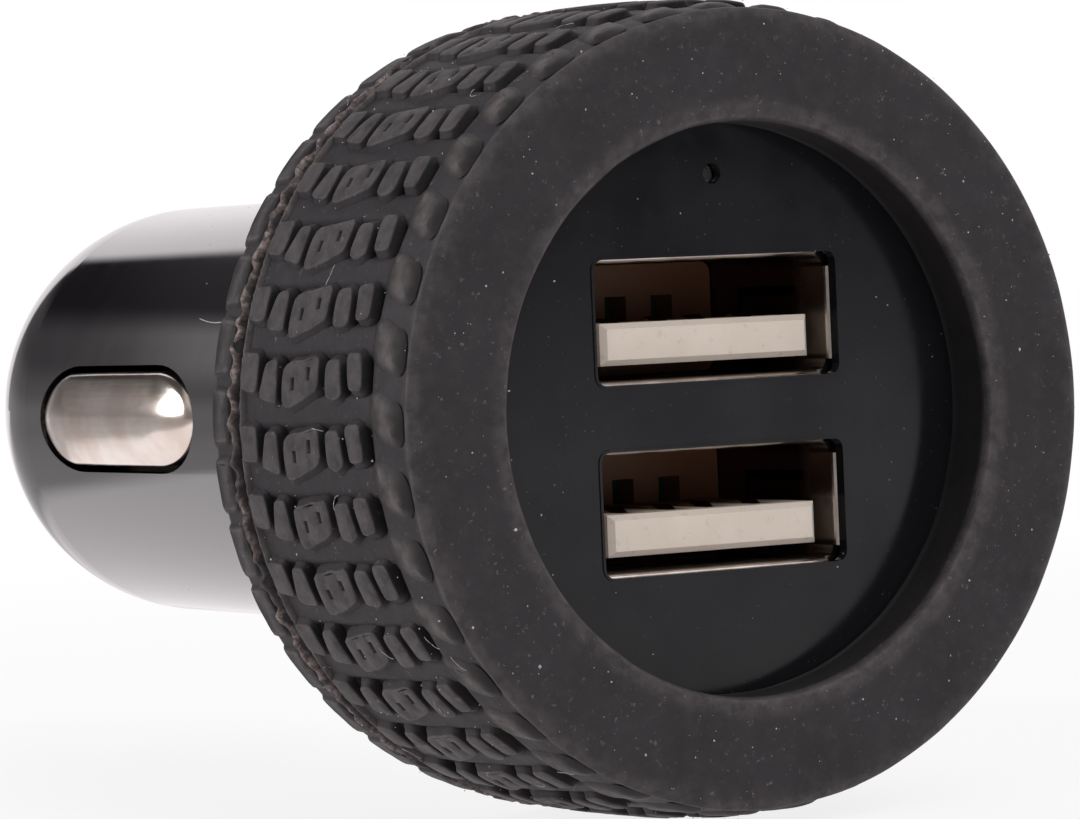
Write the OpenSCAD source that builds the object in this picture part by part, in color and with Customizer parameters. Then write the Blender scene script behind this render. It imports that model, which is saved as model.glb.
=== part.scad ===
// Car USB charger with two ports and a tyre-shaped rubber sleeve round its head.
// The charger's axis runs along Y: the ports face -Y and the nose with its tip pin points to +Y.
// The origin is on the axis at the head's rear face, where the mouth of the car's socket comes to rest.
// Distances called t are measured back from the tyre's front face.

/* [Tyre sleeve] */
// Width of the tyre along the axis
tyre_w = 16.4; // [15.8:0.1:18]
// Diameter over the crown of the tread
tyre_d = 36.4; // [35.4:0.1:39]
// Diameter of the round mouth in the front sidewall
mouth_d = 25; // [24:0.1:26]
// How far the ridge between the front sidewall and the shoulder lies inside the crown
ridge_inset = 0.8; // [0.6:0.05:1.2]
// Thickness of the sleeve over the drum, up to the crown
sleeve_t = 2.6; // [2.4:0.05:3]
// Thickness of the front sidewall, which is the depth of the recess in front of the ports
lip_t = 2.9; // [2.4:0.1:3.4]
// Thickness of the bead that wraps the back of the head
rear_lip_t = 1.4; // [1:0.1:1.8]
// Depth of the grooves between the tread blocks
tread_depth = 0.4; // [0.3:0.05:0.7]
// Height of the low lugs behind the seam
rear_lug_h = 0.2; // [0.1:0.05:0.3]
// Number of rows of tread blocks round the tyre
tread_rows = 37; // [33:1:41]
// Angle of the first row about the axis
row_angle = 163.5; // [0:0.5:360]
// How much the crown falls away towards the front sidewall
crown_drop = 0.55; // [0.2:0.05:0.8]

/* [Head] */
// Wall of the drum
drum_wall = 1.45; // [1.2:0.05:1.8]
// Wall at the back of the head
rear_wall = 1.2; // [1:0.1:1.5]
// Thickness of the face plate
plate_t = 1.4; // [1.2:0.1:1.8]
// Width of the ledge that the face plate sits on
plate_ledge = 0.8; // [0.6:0.05:0.9]
// Diameter of the boss that fills the hole in the tyre's rear bead
boss_d = 24.8; // [24.4:0.1:25.6]
// Length of the smooth neck that enters the car's socket first after the head
neck_l = 6; // [5:0.1:7]
// Width of the shadow groove between the neck and the barrel
groove_w = 0.6; // [0.55:0.05:0.9]
// Depth of that groove
groove_depth = 0.4; // [0.3:0.05:0.6]
// Length of the spigot that the barrel is pushed onto
spigot_l = 5; // [4:0.1:6]
// Clearance between pieces that are pushed together
fit_gap = 0.05; // [0.03:0.01:0.08]

/* [Barrel] */
// Outer diameter of the barrel
barrel_d = 20.86; // [20.6:0.02:20.94]
// Wall of the barrel
barrel_wall = 1.3; // [1.1:0.05:1.4]
// Distance from the head's rear face to the start of the round nose
barrel_l = 34.9; // [34:0.1:38]
// Diameter of the flat at the end of the nose
nose_flat_d = 10.4; // [9.6:0.1:11]
// Thickness of the nose's end wall, which guides the tip pin
nose_wall = 2.5; // [2:0.1:3]

/* [Side contacts] */
// Length of each side contact, as a share of the barrel's straight part
contact_share = 0.565; // [0.5:0.005:0.58]
// Width of each side contact
contact_w = 4.6; // [4:0.1:5]
// Length of the rounded end of a contact
contact_end_l = 3.8; // [2.6:0.1:4.2]
// How far a side contact stands out of the barrel
contact_proud = 0.82; // [0.5:0.02:1]
// Distance from the end of a contact to the start of the round nose
contact_inset = 2.1; // [1.5:0.1:4]
// Sheet thickness of the contacts
contact_t = 0.4; // [0.3:0.05:0.5]
// Gap between a contact and the edge of its slot
slot_gap = 0.35; // [0.2:0.05:0.45]
// Width of the flange that keeps a contact inside the barrel
contact_flange = 0.85; // [0.7:0.05:1]
// How far a contact can be pressed in, which the room above the power board's edge allows for
contact_travel = 0.8; // [0.6:0.05:0.8]
// Width of the leaf spring behind a contact
leaf_w = 3; // [2:0.1:3.2]
// Thickness of the leaf spring
leaf_t = 0.25; // [0.2:0.01:0.3]

/* [Tip pin] */
// Diameter of the tip pin
pin_d = 6; // [5:0.1:6.4]
// How far the tip pin stands out of the nose
pin_proud = 3; // [2.8:0.1:3.6]
// How far the tip pin can be pressed in, which the room for its spring allows for
pin_travel = 2.5; // [1.5:0.1:2.5]
// Running clearance of the pin in the nose, on the radius
pin_gap = 0.06; // [0.03:0.01:0.08]
// Width of the pin's retaining flange
pin_flange = 1.1; // [0.8:0.1:1.3]
// Thickness of that flange
pin_flange_t = 1.2; // [0.8:0.1:1.4]
// Wire diameter of the tip spring
spring_wire = 0.5; // [0.4:0.05:0.55]
// Number of turns of the tip spring
spring_turns = 5.5; // [4.5:0.5:6.5]

/* [USB ports] */
// Distance between the centres of the two ports
port_pitch = 8.32; // [7.6:0.02:8.6]
// Height of the middle of the pair above the axis
port_shift = -0.17; // [-0.4:0.01:0.4]
// Width of the windows in the face plate
window_w = 12.65; // [12.55:0.01:12.75]
// Height of the windows
window_h = 5.45; // [5.3:0.01:5.5]
// Corner radius of the windows
window_r = 0.45; // [0.3:0.05:0.8]
// Thickness of the face plate at the windows' edge
window_edge = 0.5; // [0.4:0.05:0.6]
// Inner width of a receptacle's steel shell
usb_w = 12.5; // [12.4:0.01:12.6]
// Inner height of the shell
usb_h = 5.12; // [5.02:0.01:5.22]
// Sheet thickness of the shell
sheet_t = 0.3; // [0.25:0.01:0.35]
// Distance from the face plate's front to the shell's throat
throat_depth = 0.9; // [0.8:0.05:1]
// Thickness of the insulator's wall at the back of a port
usb_back_wall = 1.4; // [1.2:0.1:1.8]
// Width of the tongue
tongue_w = 10.85; // [10.6:0.05:11.2]
// Thickness of the tongue
tongue_t = 1.84; // [1.7:0.02:1.9]
// Distance from the port's middle down to the tongue's middle
tongue_drop = 0.96; // [0.9:0.02:1]
// Chamfer on the tongue's front edges
tongue_chamfer = 0.25; // [0.2:0.05:0.5]
// Distance from the port board's edge in to the status light and its pinhole
led_inset = 0.65; // [0.6:0.05:0.9]
// Diameter of the pinhole
led_hole_d = 0.9; // [0.8:0.05:1.2]

/* [Circuit boards] */
// Thickness of the round port board
port_board_t = 1; // [0.8:0.1:1.2]
// Thickness of the power board
board_t = 1.6; // [1.2:0.1:1.8]
// Room between the capacitors and the head's spigot round them
can_gap = 0.8; // [0.7:0.05:1.5]
// Diameter of the power inductor
inductor_d = 7.8; // [6:0.1:8]
// Height of the power inductor
inductor_h = 5.2; // [4:0.1:5.4]

/* [Hidden] */
$fn = 96;

front_y = -tyre_w;
tyre_r = tyre_d / 2;
mouth_r = mouth_d / 2;
mouth_edge_r = 0.45;
ridge_r = tyre_r - ridge_inset;
ridge_t = 0.35;
crown_t = 10.7;
row_pitch = 360 / tread_rows;
tread_root = 0.5;
pattern_w = 16.4;
pattern_pitch = 3.09;
arc_scale = PI * tyre_d / tread_rows / pattern_pitch;
drum_r = tyre_r - sleeve_t;
drum_bore_r = drum_r - drum_wall;
plate_y = front_y + lip_t;
plate_back_y = plate_y + plate_t;
plate_r = drum_bore_r + plate_ledge;
boss_r = boss_d / 2;
drum_back_y = -rear_lip_t;
pocket_wall = 1.4;
pocket_r = boss_r - pocket_wall;
port_board_back_y = -rear_wall;
port_board_y = port_board_back_y - port_board_t;
port_board_r = pocket_r - fit_gap;
barrel_r = barrel_d / 2;
barrel_bore_r = barrel_r - barrel_wall;
spigot_r = barrel_bore_r - fit_gap;
spigot_wall = 1.18;
spigot_bore_r = spigot_r - spigot_wall;
neck_wall = 1.1;
neck_bore_r = barrel_r - neck_wall;
can_r = (spigot_bore_r - board_t / 2 - can_gap) / 2;
barrel_y = neck_l + groove_w;
nose_flat_r = nose_flat_d / 2;
nose_y = barrel_l + sqrt(pow(barrel_r, 2) - pow(nose_flat_r, 2));
nose_inner_y = nose_y - nose_wall;
pin_r = pin_d / 2;
pin_flange_r = pin_r + pin_flange;
pin_flange_y = nose_inner_y - fit_gap - pin_flange_t;
terminal_t = 0.5;
spring_play = 0.94;
spring_solid_l = spring_wire * (spring_turns + 1);
terminal_y = pin_flange_y - pin_travel - spring_solid_l - spring_play;
board_end = terminal_y - terminal_t;
contact_l = contact_share * (barrel_l - barrel_y);
contact_reach = contact_l / 2 - contact_end_l;
contact_y = barrel_l - contact_inset - contact_l / 2;
contact_top = barrel_r + contact_proud;
contact_crown_r = 3.3;
contact_base = sqrt(pow(barrel_bore_r, 2) - pow(contact_w / 2 + contact_flange, 2)) - contact_t - fit_gap;
press_room = 0.4;
board_r = contact_base - contact_travel - press_room;
port_z = [port_shift + port_pitch / 2, port_shift - port_pitch / 2];
shell_lip = 0.4;
shell_corner_r = 0.5;
shell_outer_w = usb_w + 2 * sheet_t;
shell_outer_h = usb_h + 2 * sheet_t;
throat_y = plate_y + throat_depth;
usb_back_y = port_board_y - usb_back_wall;
usb_contact_w = 0.9;
usb_contact_x = [-3.5, -1, 1, 3.5];
leg_w = 1;
leg_z = [-1.2, 1.2];
leg_tail = 0.8;
leg_room = 0.3;
leg_reach = norm([usb_w / 2 + sheet_t, port_z[0] + leg_z[1] + leg_w / 2]) + leg_room;
led_z = port_board_r - led_inset;
channel_w = 1.15;
channel_h = 1.1;
groove_in_tongue = 0.35;

// Radius of the tread's crown at a distance t behind the front face
function crown(t) = tyre_r - crown_drop * pow((t - crown_t) / crown_t, 2);
// Radius of the floor between the tread blocks
function tread_floor(t) = crown(t) - tread_depth;
// Distance behind the front face, for a place in the tread pattern as it was drawn
function along(t) = t * tyre_w / pattern_w;
// Points of an arc about a centre, from one angle to another
function arc(centre, r, from, to, steps) =
  [for (i = [0:steps]) let (a = from + (to - from) * i / steps) centre + r * [cos(a), sin(a)]];
// Outline of a rectangle with rounded corners
function rounded_rect(w, h, r, steps = 4) = concat(
  arc([w / 2 - r, h / 2 - r], r, 0, 90, steps),
  arc([r - w / 2, h / 2 - r], r, 90, 180, steps),
  arc([r - w / 2, r - h / 2], r, 180, 270, steps),
  arc([w / 2 - r, r - h / 2], r, 270, 360, steps)
);

// Turns a profile of radius and distance into a solid round the Y axis
module revolve_y() {
  rotate([-90, 0, 0]) rotate_extrude() children();
}

// A cylinder along Y between two places
module rod_y(r, from, to) {
  translate([0, from, 0]) rotate([-90, 0, 0]) cylinder(r = r, h = to - from);
}

// Extrudes an outline in X and Z along Y
module prism_y(from, to) {
  translate([0, to, 0]) rotate([90, 0, 0]) linear_extrude(to - from) children();
}

// Extrudes an outline in Y and Z along X
module prism_x(from, to) {
  translate([from, 0, 0]) rotate([90, 0, 90]) linear_extrude(to - from) children();
}

// A box between two corners
module block(low, high) {
  translate(low) cube(high - low);
}

// One tread block: an outline of distance t and arc length, raised from the groove floor at an angle
module tread_block(angle, outline, t_mid) {
  rotate([0, -angle, 0])
    translate([0, front_y, 0])
      prism_x(tread_floor(along(t_mid)) - tread_root, crown(along(t_mid)))
        polygon([for (p = outline) [along(p[0]), arc_scale * p[1]]]);
}

module front_bar(angle) {
  tread_block(angle, [[3.55, -1.25], [4.6, -1.2], [4.65, -0.8], [4.35, 0.55], [3.45, 0.5], [3.4, 0.2]], 4);
}

module front_inner_bar(angle) {
  tread_block(angle, [[5.2, -0.95], [6, -0.9], [6.15, -0.6], [6.05, 0.85], [5.5, 0.95], [4.95, 0.7]], 5.5);
}

module centre_block(angle) {
  t_mid = 8.3;
  slit_w = 0.28;
  slit_l = 0.55;
  difference() {
    tread_block(
      angle,
      [[6.95, -1.1], [9.45, -0.75], [9.7, -0.5], [9.7, 1.15], [9.4, 1.35], [7.9, 0.95], [6.95, 0.5]],
      t_mid
    );
    for (slit = [[7.4, -0.3], [8.8, 0.22]])
      rotate([0, -angle, 0])
        translate([0, front_y, 0])
          prism_x(tread_floor(along(t_mid)), tyre_r + 1)
            translate([along(slit[0]), arc_scale * slit[1]]) square([slit_w, slit_l], center = true);
  }
}

module rear_inner_bar(angle) {
  tread_block(angle, [[10.5, -0.95], [11.3, -0.9], [11.8, 0.65], [11.6, 0.85], [10.45, 1], [10.4, 0.8]], 11);
}

module rear_bar(angle) {
  tread_block(angle, [[11.95, -1.15], [13.6, -1.2], [13.6, 0.45], [12.45, 0.55], [12.25, 0.3]], 12.8);
}

// Big soft lug on the front shoulder, half a row out of step
module front_lug(angle) {
  tread_block(
    angle,
    [[0.55, -1], [2.5, -1.15], [2.7, -0.85], [2.7, 0.45], [2.45, 0.75], [0.55, 1.1]],
    1.4
  );
}

module rear_lug(angle) {
  rear_edge = pattern_w - 0.2;
  tread_block(
    angle,
    [[14.8, -1.05], [rear_edge, -1.15], [rear_edge, 1.15], [14.9, 1.1], [14.7, 0.8]],
    15.4
  );
}

// The sleeve without its tread: sidewall, rounded mouth, groove floor, rear bead and the bore on the drum
module tyre_carcass() {
  floor_steps = 8;
  floor_from = 0.85;
  seam_t = along(13.8);
  seam_w = along(0.35);
  seam_depth = 0.25;
  flash_w = 0.2;
  flash_h = 0.3;
  rear_edge = 0.4;
  rear_t = tyre_w - rear_edge;
  rear_hole_r = boss_r + fit_gap;
  sidewall_flat_r = ridge_r - 0.9;
  mouth_edge = arc([mouth_r + mouth_edge_r, mouth_edge_r], mouth_edge_r, 180, 270, 5);
  floor_line = [
    for (i = [0:floor_steps])
      let (t = floor_from + (seam_t - floor_from) * i / floor_steps) [tread_floor(t), t]
  ];
  seam = [
    [tread_floor(seam_t) - seam_depth, seam_t],
    [tread_floor(seam_t) - seam_depth, seam_t + seam_w],
    [tread_floor(seam_t) + flash_h, seam_t + seam_w],
    [tread_floor(seam_t) + flash_h, seam_t + seam_w + flash_w],
    [crown(seam_t) - rear_lug_h, seam_t + 2 * seam_w]
  ];
  translate([0, front_y, 0]) revolve_y() polygon(concat(
    [[mouth_r, lip_t]],
    mouth_edge,
    [[sidewall_flat_r, 0], [ridge_r - 0.3, 0.12], [ridge_r, ridge_t], [ridge_r, ridge_t + 0.3]],
    floor_line,
    seam,
    [[crown(rear_t) - rear_lug_h, rear_t], [crown(rear_t) - rear_lug_h - rear_edge, tyre_w]],
    [[rear_hole_r, tyre_w], [rear_hole_r, tyre_w - rear_lip_t]],
    [[drum_r + fit_gap, tyre_w - rear_lip_t], [drum_r + fit_gap, lip_t]]
  ));
}

module tyre() {
  color("#343235") union() {
    tyre_carcass();
    for (row = [0:tread_rows - 1]) {
      angle = row_angle + row * row_pitch;
      front_bar(angle);
      front_inner_bar(angle);
      centre_block(angle);
      rear_inner_bar(angle);
      rear_bar(angle);
      front_lug(angle + row_pitch / 2);
      rear_lug(angle + row_pitch / 2);
    }
  }
}

// Outline of the head's moulding as radius and distance
function drum_profile(groove_r, spigot_end) = [
  [plate_r + fit_gap, plate_y], [drum_r, plate_y], [drum_r, drum_back_y], [boss_r, drum_back_y],
  [boss_r, 0], [barrel_r, 0], [barrel_r, neck_l], [groove_r, neck_l], [groove_r, barrel_y],
  [spigot_r, barrel_y], [spigot_r, spigot_end - 0.3], [spigot_r - 0.3, spigot_end],
  [spigot_bore_r, spigot_end], [spigot_bore_r, 1.5], [neck_bore_r, 0.5],
  [neck_bore_r, port_board_back_y], [pocket_r, port_board_back_y],
  [pocket_r, drum_back_y - rear_wall], [drum_bore_r, drum_back_y - rear_wall],
  [drum_bore_r, plate_back_y], [plate_r + fit_gap, plate_back_y]
];

// The drum under the sleeve with its rear wall, socket neck and the spigot for the barrel, in one moulding
module head_housing() {
  rib_w = 1.2;
  rib_h = 0.9;
  groove_r = barrel_r - groove_depth;
  spigot_end = barrel_y + spigot_l;
  color("#1b1b1e") difference() {
    union() {
      revolve_y() polygon(drum_profile(groove_r, spigot_end));
      for (angle = [45:90:315])
        rotate([0, angle, 0])
          block(
            [drum_bore_r - rib_h, plate_back_y, -rib_w / 2],
            [drum_bore_r + drum_wall / 2, drum_back_y - rear_wall / 2, rib_w / 2]
          );
    }
    // Room for the shells' legs where they come through the port board
    rod_y(leg_reach, port_board_back_y - fit_gap, port_board_back_y + leg_tail + fit_gap);
  }
}

// Glossy disc with the two port windows, pockets behind them for the receptacles, and the light's pinhole
module face_plate() {
  pocket_gap = 0.1;
  pocket_w = usb_w + 2 * shell_lip + pocket_gap;
  pocket_h = usb_h + 2 * shell_lip + pocket_gap;
  boss_l = 2;
  guide_boss_r = 1.7;
  rim_w = 0.12;
  rim_h = 0.06;
  color("#17171a") difference() {
    union() {
      rod_y(plate_r, plate_y, plate_back_y);
      translate([0, 0, led_z]) rod_y(guide_boss_r, plate_back_y, plate_back_y + boss_l);
      for (z = port_z)
        translate([0, 0, z])
          prism_y(plate_y - rim_h, plate_y + rim_h)
            polygon(rounded_rect(window_w + 2 * rim_w, window_h + 2 * rim_w, window_r + rim_w));
    }
    for (z = port_z) translate([0, 0, z]) {
      prism_y(plate_y - 1, plate_back_y + 1) polygon(rounded_rect(window_w, window_h, window_r));
      prism_y(plate_y + window_edge, plate_back_y + 1) square([pocket_w, pocket_h], center = true);
    }
    translate([0, 0, led_z]) {
      rod_y(led_hole_d / 2, plate_y - 1, plate_back_y + 1);
      rod_y(light_guide_r + fit_gap, plate_back_y, plate_back_y + boss_l + 1);
    }
  }
}

light_guide_r = 1;

// Outline of a contact in Y and Z, a long oval, grown by a margin
function contact_outline(grow) =
  let (a = contact_end_l + grow, b = contact_w / 2 + grow)
    [for (side = [1, -1], i = [0:contact_steps])
      let (turn = -90 + 180 * i / contact_steps)
        [contact_y + side * (contact_reach + a * cos(turn)), side * b * sin(turn)]];
contact_steps = 20;

// One slot for a side contact, cut outwards from the axis towards +X
module contact_slot() {
  prism_x(0, barrel_r + 1) polygon(contact_outline(slot_gap));
}

// One-piece barrel: a tube with a round nose, a guide hole for the tip pin and two contact slots
module barrel() {
  collar_h = 0.5;
  collar_r = pin_r + 1.3;
  color("#121214") difference() {
    union() {
      rod_y(barrel_r, barrel_y, barrel_l);
      intersection() {
        translate([0, barrel_l, 0]) rotate([-90, 0, 0]) sphere(r = barrel_r);
        rod_y(barrel_r + 1, barrel_l - 1, nose_y);
      }
      rod_y(collar_r, nose_y - 0.5, nose_y + collar_h);
    }
    rod_y(barrel_bore_r, barrel_y - 1, barrel_l);
    intersection() {
      translate([0, barrel_l, 0]) rotate([-90, 0, 0]) sphere(r = barrel_bore_r);
      rod_y(barrel_bore_r + 1, barrel_l - 1, nose_inner_y);
    }
    rod_y(pin_r + pin_gap, nose_inner_y - 1, nose_y + collar_h + 1);
    contact_slot();
    mirror([1, 0, 0]) contact_slot();
  }
}

// A U-shaped slit that frees a spring finger in the sheet, drawn in the plane of the sheet
module finger_slit(finger_w, finger_l, slit) {
  difference() {
    translate([0, -finger_w / 2 - slit]) square([finger_l + slit, finger_w + 2 * slit]);
    translate([-1, -finger_w / 2]) square([finger_l + 1, finger_w]);
  }
}

// Folded steel shell of one receptacle: flared lips at the mouth, spring fingers in each wall, four legs
module usb_shell(z) {
  finger_y = throat_y + 2.2;
  finger_l = 4.2;
  side_finger_w = 1.6;
  top_finger_w = 2;
  slit = 0.45;
  lip_run_w = usb_w - 1;
  lip_run_h = usb_h - 1;
  leg_l = port_board_t + leg_tail;
  lip_steps = 6;
  lip_profile = concat(
    arc([0, shell_lip], shell_lip, -90, -180, lip_steps),
    [[sheet_t - shell_lip, shell_lip], [0, sheet_t]]
  );
  color("#a8a5a2") translate([0, 0, z]) {
    difference() {
      prism_y(throat_y, port_board_y)
        polygon(rounded_rect(shell_outer_w, shell_outer_h, shell_corner_r + sheet_t));
      prism_y(throat_y - 1, port_board_y + 1) polygon(rounded_rect(usb_w, usb_h, shell_corner_r));
      translate([0, finger_y, 0]) {
        prism_x(-shell_outer_w, shell_outer_w) finger_slit(side_finger_w, finger_l, slit);
        for (x = [-3.1, 3.1])
          translate([x, 0, -shell_outer_h])
            linear_extrude(2 * shell_outer_h) rotate(90) finger_slit(top_finger_w, finger_l, slit);
      }
    }
    for (side = [0, 1]) {
      mirror([0, 0, side])
        translate([0, throat_y, usb_h / 2]) prism_x(-lip_run_w / 2, lip_run_w / 2) polygon(lip_profile);
      mirror([side, 0, 0])
        translate([usb_w / 2, throat_y, -lip_run_h / 2])
          linear_extrude(lip_run_h) polygon([for (p = lip_profile) [p[1], p[0]]]);
      for (place = leg_z)
        mirror([side, 0, 0])
          block(
            [usb_w / 2, port_board_y, place - leg_w / 2],
            [usb_w / 2 + sheet_t, port_board_y + leg_l, place + leg_w / 2]
          );
    }
  }
}

// Cream insulator of one receptacle: a back wall with four contact channels and the tongue in front of it
module usb_tongue(z) {
  half_t = tongue_t / 2;
  half_w = tongue_w / 2;
  c = tongue_chamfer;
  back_w = usb_w - 2 * fit_gap;
  back_h = usb_h - 2 * fit_gap;
  color("#cdc0b4") translate([0, 0, z]) difference() {
    union() {
      prism_y(usb_back_y, port_board_y) polygon(rounded_rect(back_w, back_h, shell_corner_r));
      translate([0, 0, -tongue_drop]) intersection() {
        prism_x(-half_w, half_w) polygon([
          [throat_y, c - half_t], [throat_y, half_t - c], [throat_y + c, half_t],
          [usb_back_y, half_t], [usb_back_y, -half_t], [throat_y + c, -half_t]
        ]);
        translate([0, 0, -half_t]) linear_extrude(tongue_t) polygon([
          [-half_w, usb_back_y], [-half_w, throat_y + c], [c - half_w, throat_y],
          [half_w - c, throat_y], [half_w, throat_y + c], [half_w, usb_back_y]
        ]);
      }
    }
    for (x = usb_contact_x) translate([x, 0, half_t - tongue_drop]) {
      block([-channel_w / 2, throat_y + 1.2, -groove_in_tongue], [channel_w / 2, port_board_y + 1, 1]);
      block(
        [-channel_w / 2, usb_back_y - 0.5, -groove_in_tongue],
        [channel_w / 2, port_board_y + 1, channel_h]
      );
    }
  }
}

// Four gilt contact strips of one receptacle, lying in the tongue's grooves, with tails through the board
module usb_contacts(z) {
  strip_t = 0.2;
  bump = 0.35;
  tail = port_board_t + 0.8;
  low = -groove_in_tongue;
  color("#b9923f") for (x = usb_contact_x)
    translate([x, 0, z + tongue_t / 2 - tongue_drop])
      prism_x(-usb_contact_w / 2, usb_contact_w / 2) polygon([
        [throat_y + 1.4, low], [throat_y + 2, low + strip_t], [throat_y + 2.8, low + strip_t + bump],
        [throat_y + 3.6, low + strip_t], [port_board_y + tail, low + strip_t], [port_board_y + tail, low]
      ]);
}

// Round board behind the receptacles, with holes for their legs and tails and slots for the power board
module port_board() {
  hole_gap = 0.15;
  color("#2c5a3c") difference() {
    rod_y(port_board_r, port_board_y, port_board_back_y);
    for (z = port_z) translate([0, 0, z]) {
      for (side = [-1, 1], place = leg_z)
        translate([side * (usb_w / 2 + sheet_t / 2), 0, place])
          prism_y(port_board_y - 1, port_board_back_y + 1)
            square([sheet_t + 2 * hole_gap, leg_w + 2 * hole_gap], center = true);
      for (x = usb_contact_x)
        translate([x, 0, tongue_t / 2 - tongue_drop - groove_in_tongue + 0.1])
          rod_y(usb_contact_w / 2 + hole_gap, port_board_y - 1, port_board_back_y + 1);
    }
    for (x = board_tab_x)
      translate([x, 0, 0])
        prism_y(port_board_y - 1, port_board_back_y + 1)
          square([board_tab_w + 2 * fit_gap, board_t + 2 * fit_gap], center = true);
  }
}

board_tab_w = 3;
board_tab_x = [-4, 4];

module status_led() {
  color("#e9e4d4") block([-0.8, port_board_y - led_h, led_z - 0.4], [0.8, port_board_y, led_z + 0.4]);
}

led_h = 0.6;

// Clear rod that carries the light from the board to the pinhole in the face plate
module light_guide() {
  pip_end = plate_y + 0.6;
  color("#dfe3e6") translate([0, 0, led_z]) union() {
    rod_y(light_guide_r, plate_back_y, port_board_y - led_h);
    rod_y(led_hole_d / 2 - fit_gap, pip_end, plate_back_y + 0.1);
  }
}

// Power board on the axis, with two tabs through the port board
module power_board() {
  tab_end = port_board_y - 0.4;
  color("#2c5a3c") union() {
    block([-board_r, port_board_back_y, -board_t / 2], [board_r, board_end, board_t / 2]);
    for (x = board_tab_x)
      block(
        [x - board_tab_w / 2, tab_end, -board_t / 2],
        [x + board_tab_w / 2, port_board_back_y + 0.5, board_t / 2]
      );
  }
}

// Aluminium can lying on the power board, with its crimped neck and rubber end
module capacitor(from, length) {
  r = can_r;
  crimp = 0.35;
  color("#31405a") translate([0, from, board_t / 2 + r]) revolve_y() polygon([
    [0, 0], [r - 0.5, 0], [r - 0.3, 0.2], [r, 0.4], [r, 1.2], [r - crimp, 1.6], [r, 2], [r, length - 0.3],
    [r - 0.3, length], [0, length]
  ]);
}

prong_l = 3;
part_gap = 0.3;
input_can_l = 8.4;
input_can_y = board_end - prong_l - input_can_l - part_gap;
inductor_y = input_can_y - inductor_d / 2 - part_gap;

module output_capacitor() {
  can_y = 1.5;
  capacitor(can_y, inductor_y - inductor_d / 2 - 2 * part_gap - can_y);
}

module input_capacitor() {
  capacitor(input_can_y, input_can_l);
}

// Ferrite bobbin standing on the board
module inductor_core() {
  r = inductor_d / 2;
  cheek = 1;
  translate([0, inductor_y, board_t / 2]) color("#3a3a3c") rotate_extrude() polygon([
    [0, 0], [r, 0], [r, cheek], [r * 0.45, cheek], [r * 0.45, inductor_h - cheek],
    [r, inductor_h - cheek], [r, inductor_h], [0, inductor_h]
  ]);
}

// Copper wire wound in the bobbin, with its turns showing on the outside
module inductor_winding() {
  r = inductor_d / 2;
  cheek = 1;
  room = inductor_h - 2 * cheek;
  turns = 6;
  wire_r = room / turns / 2;
  inner = r * 0.45;
  outer = r - 0.5;
  translate([0, inductor_y, board_t / 2 + cheek]) color("#b06a3a") rotate_extrude() polygon(concat(
    [[inner, 0]],
    [
      for (i = [0:turns - 1], a = [-90:45:45])
        [outer - wire_r + wire_r * cos(a), wire_r * (2 * i + 1 + sin(a))]
    ],
    [[outer - wire_r, room], [inner, room]]
  ));
}

// Gull-wing leads along both long sides of a chip under the board
module chip_leads(pitch, count, body_x, span_x, lead_w) {
  for (side = [0, 1], i = [0:count - 1])
    mirror([side, 0, 0])
      translate([0, (i - (count - 1) / 2) * pitch - lead_w / 2, -board_t / 2])
        rotate([90, 0, 0]) mirror([0, 0, 1]) linear_extrude(lead_w) polygon([
          [body_x - 0.1, -0.7], [body_x + 0.4, -0.7], [body_x + 0.6, -0.15], [span_x, -0.15], [span_x, 0],
          [body_x + 0.5, 0], [body_x + 0.3, -0.5], [body_x - 0.1, -0.5]
        ]);
}

// Moulded chip under the board, a share of the way along it, standing a little off the board on its leads
module chip(size, place, pitch, count, lead_w, lead_reach) {
  color("#202022") translate([0, place * board_end, 0]) union() {
    translate([0, 0, -board_t / 2 - chip_stand_off - size[2] / 2]) cube(size, center = true);
    chip_leads(pitch, count, size[0] / 2, size[0] / 2 + lead_reach, lead_w);
  }
}

chip_stand_off = 0.1;
converter_size = [3.9, 4.9, 1.4];
converter_pitch = 1.27;
converter_lead_w = 0.42;
converter_lead_reach = 1.15;
charge_size = [1.6, 2.9, 1];
charge_pitch = 0.95;
charge_lead_w = 0.4;
charge_lead_reach = 0.6;
diode_size = [4.4, 2.6, 2.1];
diode_tab = [5, 1.5, 1.1];

module converter_chip() {
  chip(converter_size, 0.27, converter_pitch, 4, converter_lead_w, converter_lead_reach);
}

module charge_chip() {
  chip(charge_size, 0.09, charge_pitch, 3, charge_lead_w, charge_lead_reach);
}

// Power diode with wide tabs folded under its ends
module rectifier_diode() {
  color("#202022") translate([0, 0.5 * board_end, -board_t / 2]) union() {
    translate([0, 0, -chip_stand_off - diode_size[2] / 2]) cube(diode_size, center = true);
    translate([0, 0, -diode_tab[2] / 2]) cube(diode_tab, center = true);
  }
}

// Row of chip resistors and ceramic capacitors under the board, placed across it and along it as shares
module chip_resistors() {
  size = [2, 1.2, 0.6];
  places = [[-0.66, 0.12], [-0.66, 0.21], [0.66, 0.15], [-0.44, 0.64], [0, 0.64], [0.44, 0.64], [0, 0.79]];
  color("#6b5a48") for (place = places)
    translate([place[0] * board_r, place[1] * board_end, -board_t / 2 - size[2] / 2])
      cube(size, center = true);
}

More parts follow.
